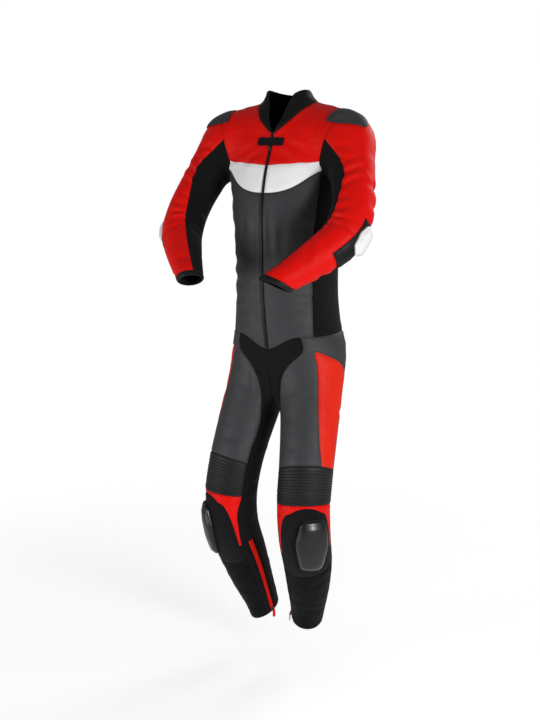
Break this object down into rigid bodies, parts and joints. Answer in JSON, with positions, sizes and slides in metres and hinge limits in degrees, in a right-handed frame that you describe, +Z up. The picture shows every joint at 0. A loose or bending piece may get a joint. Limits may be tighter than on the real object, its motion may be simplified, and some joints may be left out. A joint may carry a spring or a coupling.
{
  "type": "motorcycle race suit",
  "caption": "One-piece race suit of leather and stretch panels, hollow and in worn shape, with ribbed knees, hard shoulder, elbow and knee pieces, a front zip and calf zips",
  "frame": {"origin": "middle of the neck, where the suit hangs from the wearer's shoulders", "axes": "+Z up, the suit faces -Y, the wearer's left is +X"},
  "size_m": [0.5748, 0.4161, 1.3501],
  "materials": {
    "leather_red": "smooth red cowhide, semi-gloss",
    "leather_white": "white perforated cowhide",
    "leather_charcoal": "dark grey cowhide, satin",
    "leather_black": "black cowhide, satin",
    "stretch_black": "black woven stretch cloth, matt",
    "plastic_black": "black moulded plastic, satin",
    "plastic_white": "white moulded plastic, satin",
    "metal_dark": "dark plated zip metal"
  },
  "bodies": {
    "suit": {"back": "leather_charcoal", "calf_back_left": "leather_black", "calf_back_right": "leather_black", "calf_zip_left": "leather_red", "calf_zip_right": "leather_red", "chest_band_left": "leather_white", "chest_band_right": "leather_white", "collar": "leather_black", "collar_tab": "leather_black", "cuff_left": "leather_black", "cuff_right": "leather_black", "elbow_patch_left": "leather_black", "elbow_patch_right": "leather_black", "elbow_slider_left": "plastic_white", "elbow_slider_right": "plastic_white", "front_left": "leather_charcoal", "front_right": "leather_charcoal", "knee_panel_left": "stretch_black", "knee_panel_right": "stretch_black", "knee_ribs_left": "leather_black", "knee_ribs_right": "leather_black", "knee_slider_left": "plastic_black", "knee_slider_right": "plastic_black", "knee_surround_left": "leather_red", "knee_surround_right": "leather_red", "leg_inner_left": "stretch_black", "leg_inner_right": "stretch_black", "shin_left": "leather_black", "shin_right": "leather_black", "shoulder_cup_left": "plastic_black", "shoulder_cup_right": "plastic_black", "side_left": "stretch_black", "side_right": "stretch_black", "sleeve_inner_left": "stretch_black", "sleeve_inner_right": "stretch_black", "sleeve_lower_left": "leather_red", "sleeve_lower_right": "leather_red", "sleeve_upper_left": "leather_red", "sleeve_upper_right": "leather_red", "thigh_back_left": "leather_charcoal", "thigh_back_right": "leather_charcoal", "thigh_front_left": "leather_charcoal", "thigh_front_right": "leather_charcoal", "thigh_side_left": "leather_red", "thigh_side_right": "leather_red", "wrist_gusset_left": "leather_black", "wrist_gusset_right": "leather_black", "yoke_back": "leather_red", "yoke_front_left": "leather_red", "yoke_front_right": "leather_red", "zip_front": "stretch_black", "zip_slider_left": "metal_dark", "zip_slider_right": "metal_dark"},
    "pull_left": {"zip_pull_left": "leather_red"},
    "pull_right": {"zip_pull_right": "leather_red"}
  },
  "joints": [
    {"name": "zip_pull_left", "type": "hinge", "parent": "suit", "child": "pull_left", "pos_m": [0.02365, -0.03178, -1.2556], "axis": [-0.3528, 0.9357, 0], "range_deg": [0, 90]},
    {"name": "zip_pull_right", "type": "hinge", "parent": "suit", "child": "pull_right", "pos_m": [-0.02365, -0.03178, -1.2556], "axis": [-0.3528, -0.9357, 0], "range_deg": [0, 90]}
  ]
}
